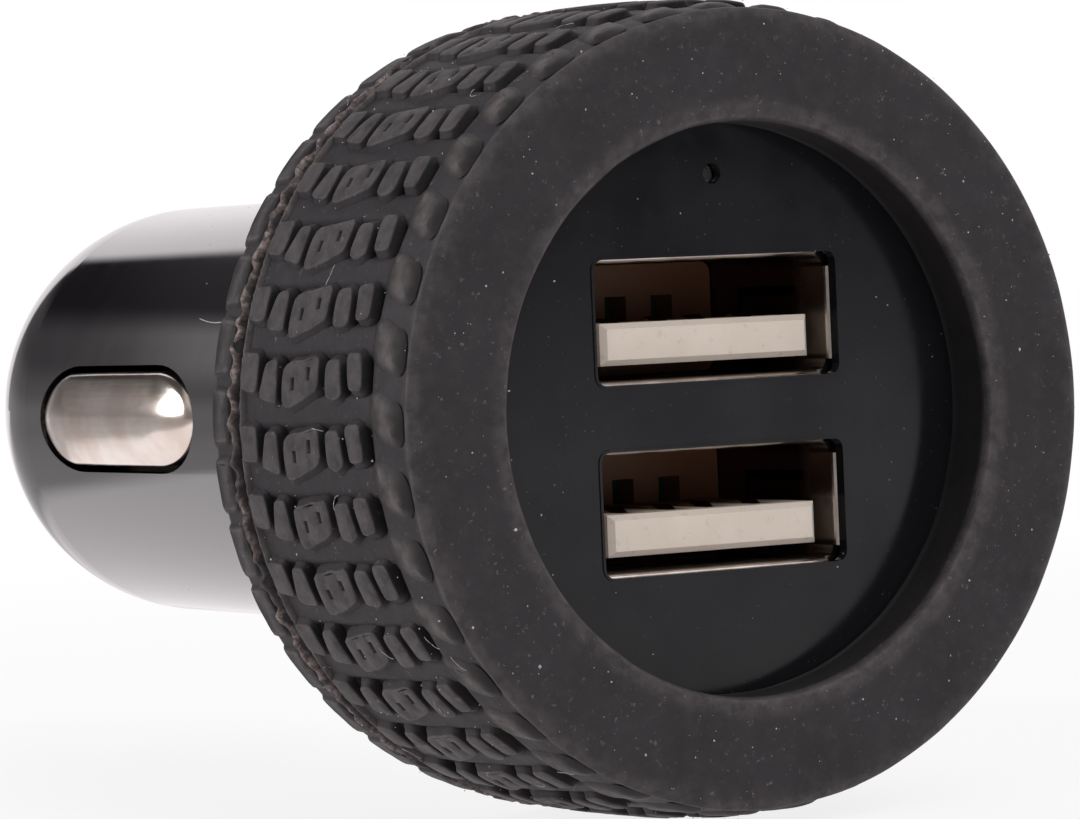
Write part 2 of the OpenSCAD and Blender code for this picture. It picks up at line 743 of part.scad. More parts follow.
// Form of a contact: a round crown that bends down at both ends, cut to the contact's outline
module contact_form(inset, low) {
  top = contact_top - inset;
  crown_r = contact_crown_r - inset;
  clear = 0.02;
  end_drop = contact_proud + 0.1;
  bend_r = (pow(contact_end_l, 2) + pow(end_drop, 2)) / (2 * end_drop) - inset;
  bend_x = top + clear - bend_r;
  bend_angle = 40;
  bend_steps = 12;
  intersection() {
    prism_x(low, top + 1) polygon(contact_outline(-inset));
    translate([0, contact_y, -contact_w]) linear_extrude(2 * contact_w) polygon(concat(
      arc([bend_x, -contact_reach], bend_r, -bend_angle, 0, bend_steps),
      arc([bend_x, contact_reach], bend_r, 0, bend_angle, bend_steps),
      [[low - 1, contact_reach + bend_r], [low - 1, -contact_reach - bend_r]]
    ));
    union() {
      translate([top - crown_r, 0, 0]) rod_y(crown_r, contact_y - contact_l, contact_y + contact_l);
      block([low - 2, contact_y - contact_l, -contact_w], [top - crown_r, contact_y + contact_l, contact_w]);
    }
  }
}

// Drawn sheet cup with a flange inside the barrel, made for the +X side
module contact_cup() {
  difference() {
    union() {
      contact_form(0, contact_base);
      prism_x(contact_base, contact_base + contact_t) polygon(contact_outline(contact_flange));
    }
    contact_form(contact_t, contact_base - 1);
  }
}

module right_contact() {
  color("#cfc8c0") contact_cup();
}

module left_contact() {
  color("#cfc8c0") mirror([1, 0, 0]) contact_cup();
}

// Bent strip soldered to the power board's edge, pressing the contact outwards from inside its cup
module leaf_spring() {
  foot_l = 1.4;
  end_room = 1.6;
  flat_l = 3.6;
  half_chord = contact_l / 2 - contact_t - end_room;
  inner_crown_r = contact_crown_r - contact_t;
  crown_sag = inner_crown_r - sqrt(pow(inner_crown_r, 2) - pow(leaf_w / 2, 2));
  rise = contact_top - contact_t - crown_sag - fit_gap - board_r;
  run = half_chord - flat_l / 2;
  climb = rise - leaf_t;
  shift = leaf_t * (sqrt(pow(run, 2) + pow(climb, 2)) - run) / climb;
  foot_end = half_chord + foot_l;
  translate([board_r, contact_y, -leaf_w / 2]) linear_extrude(leaf_w) polygon([
    [0, -foot_end], [leaf_t, -foot_end], [leaf_t, -half_chord - shift], [rise, -flat_l / 2 - shift],
    [rise, flat_l / 2 + shift], [leaf_t, half_chord + shift], [leaf_t, foot_end], [0, foot_end],
    [0, half_chord], [climb, flat_l / 2], [climb, -flat_l / 2], [0, -half_chord]
  ]);
}

module right_leaf_spring() {
  color("#c79a4b") leaf_spring();
}

module left_leaf_spring() {
  color("#c79a4b") mirror([1, 0, 0]) leaf_spring();
}

// Turned pin with a domed end and a flange that keeps it in the nose
module tip_pin() {
  end_y = nose_y + pin_proud;
  dome = 1.4;
  dome_r = (pow(pin_r, 2) + pow(dome, 2)) / (2 * dome);
  spigot = 1.6;
  color("#cfc8c0") union() {
    rod_y(pin_flange_r, pin_flange_y, pin_flange_y + pin_flange_t);
    rod_y(spring_r - spring_wire / 2 - 0.15, pin_flange_y - spigot, pin_flange_y);
    intersection() {
      rod_y(pin_r, pin_flange_y, end_y);
      translate([0, end_y - dome_r, 0]) rotate([-90, 0, 0]) union() {
        sphere(r = dome_r);
        translate([0, 0, -dome_r]) cylinder(r = pin_r + 1, h = dome_r);
      }
    }
  }
}

spring_r = 2.6;

// Compression spring between the terminal and the pin, as a wire swept along a helix
module tip_spring() {
  sides = 8;
  steps_per_turn = 14;
  steps = round(spring_turns * steps_per_turn);
  wire_r = spring_wire / 2;
  end_gap = 0.02;
  from_y = terminal_y + wire_r + end_gap;
  to_y = pin_flange_y - wire_r - end_gap;
  rings = [
    for (i = [0:steps])
      let (a = 360 * i / steps_per_turn, y = from_y + (to_y - from_y) * i / steps)
        [for (k = [0:sides - 1])
          let (b = 360 * k / sides, r = spring_r + wire_r * cos(b))
            [r * cos(a), y + wire_r * sin(b), r * sin(a)]]
  ];
  points = [for (ring = rings, p = ring) p];
  walls = [
    for (i = [0:steps - 1], k = [0:sides - 1])
      let (n = (k + 1) % sides) [i * sides + k, i * sides + n, (i + 1) * sides + n, (i + 1) * sides + k]
  ];
  first_cap = [for (k = [sides - 1:-1:0]) k];
  last_cap = [for (k = [0:sides - 1]) steps * sides + k];
  color("#b8b4ae") polyhedron(points, concat(walls, [first_cap, last_cap]));
}

// Brass disc on the end of the power board with two prongs that grip it
module tip_terminal() {
  prong_w = 2.4;
  color("#c79a4b") union() {
    rod_y(spring_r + spring_wire / 2 + 0.5, board_end, terminal_y);
    for (side = [0, 1])
      mirror([0, 0, side])
        block([-prong_w / 2, board_end - prong_l, board_t / 2], [prong_w / 2, terminal_y, board_t / 2 + 0.4]);
  }
}

tyre();
head_housing();
face_plate();
barrel();
usb_shell(port_z[0]);  // upper_usb_shell
usb_shell(port_z[1]);  // lower_usb_shell
usb_tongue(port_z[0]);  // upper_usb_tongue
usb_tongue(port_z[1]);  // lower_usb_tongue
usb_contacts(port_z[0]);  // upper_usb_contacts
usb_contacts(port_z[1]);  // lower_usb_contacts
port_board();
status_led();
light_guide();
power_board();
input_capacitor();
output_capacitor();
inductor_core();
inductor_winding();
converter_chip();
rectifier_diode();
charge_chip();
chip_resistors();
left_contact();
right_contact();
left_leaf_spring();
right_leaf_spring();
tip_pin();
tip_spring();
tip_terminal();
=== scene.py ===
import math
import random

import bpy
import numpy as np
from mathutils import Matrix, Vector, noise
from mathutils.geometry import delaunay_2d_cdt


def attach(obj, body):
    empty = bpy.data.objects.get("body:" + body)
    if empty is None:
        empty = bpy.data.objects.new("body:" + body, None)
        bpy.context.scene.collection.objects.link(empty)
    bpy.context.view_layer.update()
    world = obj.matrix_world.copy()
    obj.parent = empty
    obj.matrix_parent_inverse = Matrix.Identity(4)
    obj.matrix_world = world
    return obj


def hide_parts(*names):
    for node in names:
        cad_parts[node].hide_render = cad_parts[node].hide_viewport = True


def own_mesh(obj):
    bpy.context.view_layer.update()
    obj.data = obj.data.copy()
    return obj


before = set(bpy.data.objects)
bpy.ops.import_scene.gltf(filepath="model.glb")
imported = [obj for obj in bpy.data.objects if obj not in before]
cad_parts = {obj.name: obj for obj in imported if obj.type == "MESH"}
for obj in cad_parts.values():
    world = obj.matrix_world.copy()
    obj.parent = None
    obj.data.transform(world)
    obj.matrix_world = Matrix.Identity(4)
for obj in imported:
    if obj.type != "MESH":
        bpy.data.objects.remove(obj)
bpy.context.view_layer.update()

MM = 0.001
SEED = 1293

# The tyre, in millimetres. t is measured back from its front face, and h up from its groove floor.
TYRE_W = 16.4
TYRE_R = 18.2
MOUTH_R = 12.5
RIDGE_R = 17.4  # the edge between the sidewall and the tread
LIP_T = 2.9
REAR_LIP_T = 1.4
DRUM_R = 15.65  # the bore
BOSS_R = 12.45  # the rear opening
TREAD_DEPTH = 0.3
REAR_LUG_H = 0.13
CROWN_DROP = 0.55
CROWN_T = 10.7  # where the tread is widest
ROWS = 37
ROW_ANGLE = math.radians(163.5)
ROW_PITCH = 2 * math.pi / ROWS
SLOT_ARC = (-1.05, 0.62)  # what the dark slots between a row's bars span round the tyre
SLOT_T = (2.9, 12.15)
SLOT_SINK = 0.28
PIT_T = (13.85, 14.4)  # the pits in front of the flash
PIT_SINK = 0.3
FLASH_T = 14.5  # the mould's parting line
CARCASS_SEGMENTS = 16 * ROWS
FLASH_SEGMENTS = 40 * ROWS
FRONT_Y = -TYRE_W

THROAT_Y = -12.6  # where the receptacles' flared mouths end and their tongues begin
BARREL_R = 10.43

# The camera, fitted to the photograph: where it looks from and the pixel of the tyre's front centre
CAM_AZIMUTH = math.radians(-31.41)
CAM_ELEVATION = math.radians(1.51)
CAM_ROLL = math.radians(2.47)
CAM_FOCAL = 5009.73
CAM_DISTANCE = 216.63
CAM_AIM = (758.46, 408.82)
CAM_SENSOR = 36
PHOTO_SIZE = (1080, 819)

# Linear colours of the surroundings: as the camera sees them, and as they light and mirror
WHITE = (1, 1, 1, 1)
STUDIO_TINT = (1, 0.95, 0.97, 1)


# ---------------------------------------------------------------- node trees

class Tree:
    """A short way to write a node tree."""

    def __init__(self, tree):
        self.tree = tree
        tree.nodes.clear()

    def node(self, kind, **settings):
        made = self.tree.nodes.new("ShaderNode" + kind)
        for name, value in settings.items():
            setattr(made, name, value)
        return made

    def feed(self, socket, value):
        if isinstance(value, bpy.types.NodeSocket):
            self.tree.links.new(value, socket)
        elif value is not None:
            socket.default_value = value

    def math(self, operation, a, b=None, clamp=False):
        made = self.node("Math", operation=operation, use_clamp=clamp)
        self.feed(made.inputs[0], a)
        self.feed(made.inputs[1], b)
        return made.outputs[0]

    def ramp(self, value, low, high, out_low=0.0, out_high=1.0):
        """Smooth step of a value from low to high."""
        made = self.node("MapRange", interpolation_type="SMOOTHSTEP")
        for index, part in enumerate((value, low, high, out_low, out_high)):
            self.feed(made.inputs[index], part)
        return made.outputs[0]

    def mix(self, share, a, b):
        made = self.node("Mix", data_type="RGBA")
        self.feed(made.inputs[0], share)
        self.feed(made.inputs[6], a)
        self.feed(made.inputs[7], b)
        return made.outputs[2]

    def blend(self, share, a, b):
        """A number between two others."""
        made = self.node("Mix", data_type="FLOAT")
        self.feed(made.inputs[0], share)
        self.feed(made.inputs[2], a)
        self.feed(made.inputs[3], b)
        return made.outputs[0]

    def split(self, vector):
        """The x, y and z of a vector."""
        made = self.node("SeparateXYZ")
        self.feed(made.inputs[0], vector)
        return made.outputs

    def noise(self, scale, detail=3.0, roughness=0.55, vector=None):
        """Noise with features of about 1/scale metres."""
        made = self.node("TexNoise")
        self.feed(made.inputs["Vector"], vector or self.place())
        made.inputs["Scale"].default_value = scale
        made.inputs["Detail"].default_value = detail
        made.inputs["Roughness"].default_value = roughness
        return made.outputs[0]

    def place(self, stretch=(1, 1, 1)):
        made = self.node("Mapping")
        self.feed(made.inputs[0], self.node("TexCoord").outputs["Object"])
        made.inputs["Scale"].default_value = stretch
        return made.outputs[0]

    def depth(self, low, high):
        """0 in front of one place on the plug's axis and 1 behind another, in millimetres."""
        return self.ramp(self.split(self.place())[1], low * MM, high * MM)

    def attribute(self, name):
        return self.node("Attribute", attribute_name=name).outputs["Fac"]

    def bump(self, height, distance, strength=1.0, normal=None):
        made = self.node("Bump")
        self.feed(made.inputs["Height"], height)
        self.feed(made.inputs["Normal"], normal)
        made.inputs["Distance"].default_value = distance
        made.inputs["Strength"].default_value = strength
        return made.outputs[0]


def rgb(r, g, b):
    """A colour written as it shows on a screen, 0 to 255, as the linear colour that a shader takes."""
    linear = (((c / 255 + 0.055) / 1.055) ** 2.4 if c > 10 else c / 255 / 12.92 for c in (r, g, b))
    return tuple(linear) + (1.0,)


def material(name):
    made = bpy.data.materials.new(name)
    made.use_nodes = True
    return made, Tree(made.node_tree)


def principled(tree, base, rough, metallic=0.0, normal=None, ior=1.5, **extra):
    """Ends a material's tree in a Principled shader. Further sockets are named with _ for a space."""
    shader = tree.node("BsdfPrincipled")
    tree.feed(shader.inputs["Base Color"], base)
    tree.feed(shader.inputs["Roughness"], rough)
    tree.feed(shader.inputs["Metallic"], metallic)
    tree.feed(shader.inputs["Normal"], normal)
    tree.feed(shader.inputs["IOR"], ior)
    for socket, value in extra.items():
        tree.feed(shader.inputs[socket.replace("_", " ")], value)
    out = tree.node("OutputMaterial")
    tree.feed(out.inputs["Surface"], shader.outputs[0])


# ---------------------------------------------------------------- materials

def rubber():
    """Charcoal moulded rubber: painted light on the blocks' tops, painted shade in the slots and recesses,
    chalky where rubbed, its rubbed edges lighter for wear and as a painted highlight.
    """
    made, tree = material("rubber")
    painted_light, slot = tree.attribute("painted_light"), tree.attribute("slot")
    flash, wear_and_highlight = tree.attribute("flash"), tree.attribute("wear_and_highlight")
    patches = tree.noise(260, 4)
    grain = tree.noise(9000, 3, 0.6)
    chalk = tree.ramp(tree.noise(3400, 5, 0.7), 0.6, 0.72)
    mottle = tree.noise(1100, 4, 0.65)
    body = tree.mix(tree.ramp(patches, 0.3, 0.7), rgb(38, 36, 38), rgb(49, 46, 49))
    body = tree.mix(tree.ramp(mottle, 0.42, 0.7, 0.0, 0.25), body, rgb(72, 68, 70))
    body = tree.mix(tree.math("MULTIPLY", grain, 0.35), body, rgb(62, 60, 63))
    # Painted shade: darker where the painted light level is low, in the grooves, the bore and the
    # recesses.
    body = tree.mix(tree.ramp(painted_light, 0.0, 0.7, 0.3, 0.0), body, rgb(26, 24, 26))
    # Painted light: the blocks' tops lighter, in mottled patches.
    top = tree.math("MULTIPLY", tree.ramp(painted_light, 0.8, 1.0), tree.ramp(mottle, 0.3, 0.65, 0.05, 0.45))
    body = tree.mix(top, body, rgb(88, 84, 86))
    chalk = tree.math("MULTIPLY", chalk, tree.ramp(patches, 0.4, 0.6, 0.2, 0.6))
    body = tree.mix(chalk, body, rgb(124, 120, 122))
    # Rubbed edges, lighter for wear and as a painted highlight.
    edge = tree.math("MULTIPLY", wear_and_highlight, tree.ramp(tree.noise(1400, 4, 0.7), 0.35, 0.65, 0.25, 1.0))
    body = tree.mix(edge, body, rgb(112, 104, 100))
    tan = tree.mix(tree.ramp(tree.noise(3200, 3), 0.4, 0.65), rgb(84, 72, 69), rgb(156, 142, 137))
    body = tree.mix(flash, body, tan)
    # Painted shade: near black in the slots, the pits, the slits, the bars' lower sides and the mouth's
    # inner wall.
    body = tree.mix(slot, body, rgb(13, 11, 12))
    rough = tree.ramp(patches, 0.3, 0.7, 0.6, 0.76)
    normal = tree.bump(grain, 0.00003, 0.5)
    normal = tree.bump(tree.noise(2200, 3), 0.00005, 0.35, normal)
    principled(
        tree, body, rough, normal=normal,
        Specular_IOR_Level=0.25, Sheen_Weight=0.03, Sheen_Roughness=0.4,
    )
    return made


def gloss_black(name, tone, haze, dust, specular=0.5, coat=0.0):
    """Moulded gloss plastic with faint haze, wipe marks and fine dust, under a clear coat if asked."""
    made, tree = material(name)
    smear = tree.noise(180, 4, 0.6, tree.place((1, 2.5, 1)))
    scratch = tree.ramp(tree.noise(2400, 2, 0.5, tree.place((1, 1, 12))), 0.66, 0.72)
    specks = tree.ramp(tree.noise(7000, 2, 0.5), 0.735, 0.76)
    base = tree.mix(tree.math("MULTIPLY", smear, 0.4), tone, rgb(26, 26, 30))
    base = tree.mix(tree.math("MULTIPLY", specks, dust), base, rgb(120, 118, 120))
    rough = tree.ramp(smear, 0.3, 0.8, haze, haze * 2.2)
    rough = tree.math("ADD", rough, tree.math("MULTIPLY", scratch, 0.05))
    principled(
        tree, base, rough, ior=1.5 + 0.3 * coat, normal=tree.bump(smear, 0.00002, 0.12),
        Specular_IOR_Level=specular, Coat_Weight=coat, Coat_IOR=1.75, Coat_Roughness=0.03,
    )
    return made


def plain(name, dark, light, rough=0.5, size=900, metallic=0.0, grain=0.00002, **extra):
    """A surface whose colour, roughness and relief vary with noise of one size."""
    made, tree = material(name)
    value = tree.noise(size, 4, 0.6)
    base = tree.mix(tree.ramp(value, 0.3, 0.7), dark, light)
    tone = tree.ramp(value, 0.25, 0.75, rough * 0.8, min(rough * 1.25, 1))
    normal = tree.bump(tree.noise(size * 6, 3), grain, 0.4)
    principled(tree, base, tone, metallic, normal, **extra)
    return made


def brushed(name, dark, light, rough, stretch, size=1500):
    """Drawn or rolled metal with fine lines one way, tarnish in patches."""
    made, tree = material(name)
    lines = tree.noise(size, 4, 0.7, tree.place(stretch))
    patches = tree.noise(400, 3)
    base = tree.mix(tree.ramp(patches, 0.35, 0.65), dark, light)
    tone = tree.math("ADD", tree.math("MULTIPLY", lines, rough * 0.6), rough * 0.7)
    principled(tree, base, tone, 1.0, tree.bump(lines, 0.00001, 0.35))
    return made


def receptacle_steel():
    """Tinned steel of the shells: bright at the mouth, duller down inside, where painted shade turns it
    dark brown.
    """
    made, tree = material("receptacle_steel")
    lines = tree.noise(1500, 4, 0.7, tree.place((1, 0.08, 1)))
    patches = tree.noise(400, 3)
    deep_shade = tree.depth(THROAT_Y + 0.6, THROAT_Y + 2.6)
    base = tree.mix(tree.ramp(patches, 0.35, 0.65), rgb(186, 176, 168), rgb(214, 206, 200))
    # Painted shade: dark brown down inside the shell.
    base = tree.mix(deep_shade, base, rgb(96, 74, 60))
    tone = tree.math("ADD", tree.math("MULTIPLY", lines, 0.06), tree.ramp(deep_shade, 0, 1, 0.18, 0.3))
    principled(tree, base, tone, 1.0, tree.bump(lines, 0.00001, 0.35))
    return made


def nickel():
    """Polished nickel of the contacts: warm, rubbed along its length by the socket."""
    made, tree = material("nickel_plate")
    rub = tree.noise(5200, 3, 0.6, tree.place((1, 0.06, 1)))
    cloud = tree.noise(330, 3)
    base = tree.mix(tree.ramp(cloud, 0.3, 0.7), rgb(226, 210, 198), rgb(244, 236, 228))
    tone = tree.math("ADD", tree.math("MULTIPLY", rub, 0.08), 0.15)
    principled(tree, base, tone, 1.0, tree.bump(rub, 0.00001, 0.35))
    return made


def cream():
    """Cream nylon of the tongues, greyer at rubbed edges, with painted shade that browns it towards the
    back.
    """
    made, tree = material("cream_nylon")
    cloud = tree.noise(500, 4)
    dirt = tree.ramp(tree.noise(1900, 5, 0.7), 0.56, 0.74)
    base = tree.mix(cloud, rgb(212, 199, 185), rgb(232, 222, 209))
    base = tree.mix(tree.math("MULTIPLY", dirt, 0.3), base, rgb(140, 122, 100))
    # Painted shade: browner and darker towards the back of the receptacle.
    base = tree.mix(tree.depth(THROAT_Y + 3, THROAT_Y + 6), base, rgb(134, 92, 66))
    principled(tree, base, 0.42, normal=tree.bump(tree.noise(3000, 3), 0.00002, 0.4))
    return made


def clear():
    """Clear acrylic of the light guide."""
    made, tree = material("clear_acrylic")
    haze = tree.noise(800, 3)
    principled(
        tree, rgb(225, 230, 232), tree.ramp(haze, 0.3, 0.7, 0.04, 0.12),
        ior=1.49, normal=tree.bump(haze, 0.00001, 0.2), Transmission_Weight=0.9,
    )
    return made


def slot_materials():
    """The finish of each material slot of the record."""
    return {
        "tyre_rubber": rubber(),
        "black_housing": plain("housing_plastic", rgb(24, 24, 27), rgb(34, 34, 37), 0.38, 700),
        "black_plate": gloss_black("plate_plastic", rgb(19, 19, 22), 0.11, 0.3, 0.3),
        "black_barrel": gloss_black("barrel_plastic", rgb(17, 12, 17), 0.05, 0.12, coat=1.0),
        "shell_steel": receptacle_steel(),
        "cream_insulator": cream(),
        "gilt_contact": brushed("gilt", rgb(190, 150, 80), rgb(222, 184, 110), 0.22, (1, 0.1, 1)),
        "green_board": plain("solder_mask", rgb(22, 66, 38), rgb(34, 92, 54), 0.35, 1200),
        "led_body": plain("led_resin", rgb(226, 220, 196), rgb(240, 236, 218), 0.3, 2000),
        "clear_guide": clear(),
        "capacitor_sleeve": plain("can_sleeve", rgb(30, 42, 66), rgb(42, 56, 84), 0.3, 800),
        "ferrite": plain("ferrite", rgb(44, 43, 44), rgb(62, 60, 60), 0.7, 2600, grain=0.00006),
        "copper_wire": brushed("enamelled_copper", rgb(150, 82, 44), rgb(190, 112, 62), 0.28, (1, 1, 0.2)),
        "chip_black": plain("chip_epoxy", rgb(22, 22, 23), rgb(34, 34, 35), 0.55, 3000, grain=0.00003),
        "chip_ceramic": plain("ceramic", rgb(190, 184, 172), rgb(214, 208, 198), 0.45, 3000),
        "nickel": nickel(),
        "spring_brass": brushed("spring_brass", rgb(176, 140, 74), rgb(206, 168, 96), 0.25, (1, 0.1, 1)),
        "spring_steel": brushed("spring_steel", rgb(130, 130, 134), rgb(172, 172, 176), 0.25, (1, 1, 0.3)),
    }


# ---------------------------------------------------------------- mesh helpers

def mesh_piece(name, verts, faces, finish, body="head", smooth=True, attributes=None):
    """One piece from points in millimetres, riding a body, with a value per point for each attribute."""
    data = bpy.data.meshes.new(name)
    data.from_pydata([tuple(c * MM for c in v) for v in verts], [], faces)
    data.update()
    for label, values in (attributes or {}).items():
        layer = data.attributes.new(label, "FLOAT", "POINT")
        layer.data.foreach_set("value", np.asarray(values, np.float32))
    data.polygons.foreach_set("use_smooth", [smooth] * len(data.polygons))
    data.materials.append(finish)
    made = bpy.data.objects.new(name, data)
    bpy.context.scene.collection.objects.link(made)
    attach(made, body)
    return made


def join(verts, faces, more_verts, more_faces):
    """Adds a shape's points and faces to those of a piece."""
    first = len(verts)
    verts += more_verts
    faces += [tuple(first + i for i in face) for face in more_faces]


def crown(t):
    """The tyre's outer radius, which falls away towards both sides."""
    return TYRE_R - CROWN_DROP * ((t - CROWN_T) / CROWN_T) ** 2


def tread_floor(t):
    """The radius of the grooves' floor."""
    return crown(t) - TREAD_DEPTH


def round_axis(r, theta, t):
    """A point at radius r, angle theta and distance t behind the tyre's front face."""
    return (r * math.cos(theta), FRONT_Y + t, r * math.sin(theta))


# ---------------------------------------------------------------- tyre

def no_marks():
    """Empty lists for the values that the rubber's colour reads at each point."""
    return {"painted_light": [], "slot": [], "wear_and_highlight": [], "flash": []}


def rear_floor(t):
    """The radius between the rear lugs."""
    return crown(t) - REAR_LUG_H


def carcass_profile():
    """The sleeve's profile as (radius, t, painted light level, wear and painted highlight).

    It runs from the bore round the mouth and over the sidewall, the ridge, the grooves' floor, the step
    before the parting line and the rear face, back to the bore.
    """
    edge_r = 0.5
    out = [(DRUM_R, LIP_T, 0.2, 0), (MOUTH_R + 0.6, LIP_T, 0.2, 0), (MOUTH_R, LIP_T, 0.3, 0)]
    out += [(MOUTH_R, t, 0.6, 0) for t in (2.4, 1.8, 1.2, 0.8)]
    for step in range(9):
        a = math.radians(180 + 90 * step / 8)
        # Wear and a painted highlight round the mouth's rim.
        wear_and_highlight = (0, 0, 0.1, 0.3, 0.6, 0.5, 0.2, 0.1, 0)[step]
        t = edge_r + edge_r * math.sin(a) + 0.02
        out.append((MOUTH_R + edge_r + edge_r * math.cos(a), t, 1, wear_and_highlight))
    for r in (13.6, 14.4, 15.2, 15.9):
        out.append((r, 0.03 + 0.03 * math.sin((r - 13) / 3.5 * math.pi), 0.8, 0))
    out += [(16.5, 0.02, 0.85, 0), (16.9, 0.04, 0.9, 0), (17.15, 0.12, 1, 0), (17.33, 0.26, 1, 0.15)]
    out += [(RIDGE_R, 0.38, 1, 0.5), (17.38, 0.46, 1, 0.3), (17.33, 0.58, 0.95, 0), (17.33, 0.8, 0.85, 0)]
    out += [(tread_floor(t), t, 0.6, 0) for t in (1.2, 1.7, 2.2, 2.6)]
    start, end, steps = 2.8, 12.4, 50
    along = (start + (end - start) * i / steps for i in range(steps + 1))
    out += [(tread_floor(t), t, 0.35, 0) for t in along]
    low = tread_floor(13.9)
    out += [(low, 12.8, 0.35, 0), (low, 13.2, 0.35, 0), (low + 0.02, 13.46, 0.3, 0)]
    out += [(low + 0.24, 13.57, 1, 0.8), (low + 0.28, 13.61, 1, 1), (low + 0.2, 13.66, 1, 0.6)]
    out += [(low - 0.1, 13.74, 0, 0), (low - 0.25, 13.86, 0, 0), (low - 0.25, 14.1, 0, 0)]
    out += [(low - 0.05, 14.3, 0, 0), (rear_floor(14.5), 14.5, 0.2, 0), (rear_floor(14.8), 14.8, 0.4, 0)]
    out += [(rear_floor(t), t, 0.6, 0) for t in (15.1, 15.6, 16.0, 16.2)]
    out += [(17.82, 16.3, 0.7, 0), (17.76, 16.36, 0.7, 0.1)]
    out += [(17.2, TYRE_W - 0.01, 0.6, 0), (16.2, TYRE_W - 0.01, 0.6, 0), (14.6, TYRE_W - 0.01, 0.5, 0)]
    out += [(BOSS_R + 0.1, TYRE_W - 0.01, 0.4, 0), (BOSS_R, TYRE_W - 0.1, 0.3, 0)]
    out += [(BOSS_R, TYRE_W - REAR_LIP_T, 0.2, 0), (DRUM_R, TYRE_W - REAR_LIP_T, 0.2, 0)]
    return out


def step_between(value, low, high, soft):
    """1 between low and high, falling to 0 over a soft edge."""
    rise = min(max((value - low) / soft + 0.5, 0), 1)
    fall = min(max((high - value) / soft + 0.5, 0), 1)
    return rise * fall


def slot_depth(t, theta):
    """How far a point lies in the dark slots between the bars of one row of the tread, 0 to 1."""
    arc = ((theta - ROW_ANGLE + ROW_PITCH / 2) % ROW_PITCH - ROW_PITCH / 2) * TYRE_R
    return step_between(arc, *SLOT_ARC, 0.3) * step_between(t, *SLOT_T, 0.2)


def flash_wave(theta):
    """The flash strip's swing along the parting line, about -1 to 1."""
    wide = noise.noise(Vector((math.cos(theta) * 7, math.sin(theta) * 7, 2)))
    return math.sin(2 * ROWS * (theta - ROW_ANGLE) + 4 * wide) * (0.8 + 0.5 * wide) + 0.5 * wide


def carcass():
    """The sleeve without its blocks: its profile turned round the axis, uneven, with slots and pits."""
    profile = carcass_profile()
    verts, faces, marks = [], [], no_marks()
    segments = CARCASS_SEGMENTS
    for i in range(segments):
        theta = 2 * math.pi * i / segments
        wave = flash_wave(theta)
        for r, t, up, wear_and_highlight in profile:
            p = Vector(round_axis(r, theta, t))
            swell = noise.noise(p * 0.35) * 0.05
            slot = slot_depth(t, theta) if r > RIDGE_R - 0.3 else 0
            pit = min(max(wave + 0.3, 0), 1) * step_between(t, *PIT_T, 0.3)
            sink = abs(swell) * (t > 0.3) + SLOT_SINK * slot + PIT_SINK * pit
            beads = 0.05 * noise.noise(p * 5) if wear_and_highlight > 0.55 else 0
            verts.append(round_axis(r - sink + beads, theta, t + max(swell, 0) * (t <= 0.3)))
            marks["painted_light"].append(up)
            # Painted shade on the mouth's inner wall, in the tread's slots and in the pits before the
            # flash.
            inside = 0.7 if r < MOUTH_R + 0.1 and 0.7 < t < LIP_T else 0
            marks["slot"].append(max(slot, 0.95 * pit, inside))
            # Extra wear and painted highlight on the brightest edges.
            extra_wear_and_highlight = 0.3 if wear_and_highlight > 0.55 else 0
            marks["wear_and_highlight"].append(wear_and_highlight * (0.45 + 0.5 * noise.noise(p * 1.2) + extra_wear_and_highlight))
            marks["flash"].append(0.0)
    count = len(profile)
    for i in range(segments):
        here, after = i * count, (i + 1) % segments * count
        for j in range(count):
            k = (j + 1) % count
            faces.append((here + j, after + j, after + k, here + k))
    return verts, faces, marks


def rounded(corners, radius, count):
    """An outline with rounded corners, as evenly spaced points, anticlockwise."""
    curve = []
    total = len(corners)
    for i in range(total):
        before, here, after = (Vector(corners[(i + k) % total]) for k in (-1, 0, 1))
        a = here + (before - here).normalized() * min(radius, 0.45 * (before - here).length)
        b = here + (after - here).normalized() * min(radius, 0.45 * (after - here).length)
        for k in range(5):
            s = k / 4
            curve.append((1 - s) ** 2 * a + 2 * s * (1 - s) * here + s * s * b)
    points = np.array([tuple(p) for p in curve])
    closed = np.vstack([points, points[:1]])
    along = np.concatenate([[0], np.cumsum(np.linalg.norm(np.diff(closed, axis=0), axis=1))])
    at = np.linspace(0, along[-1], count, endpoint=False)
    even = np.column_stack([np.interp(at, along, closed[:, k]) for k in (0, 1)])
    nxt = np.roll(even, -1, 0)
    area = (even[:, 0] * nxt[:, 1] - nxt[:, 0] * even[:, 1]).sum()
    return even if area > 0 else even[::-1]


def inward(outline):
    """The unit normals of an outline that point into it."""
    tangent = np.roll(outline, -1, 0) - np.roll(outline, 1, 0)
    tangent /= np.linalg.norm(tangent, axis=1)[:, None]
    return np.column_stack([-tangent[:, 1], tangent[:, 0]])


BLOCK_POINTS = 26
BLOCK_CORNER_R = 0.24
LUG_CORNER_R = 0.85

# A block's side from its foot to its top: how far in from the outline where it faces the next bar,
# how far in where it faces the gap between two rows, and how high
SIDE = [
    (-0.01, -0.3, -0.3), (0.0, -0.2, -0.02), (0.0, -0.1, 0.06), (0.0, -0.03, 0.13),
    (0.0, 0.02, 0.2), (0.015, 0.07, 0.26), (0.06, 0.15, 0.29),
]


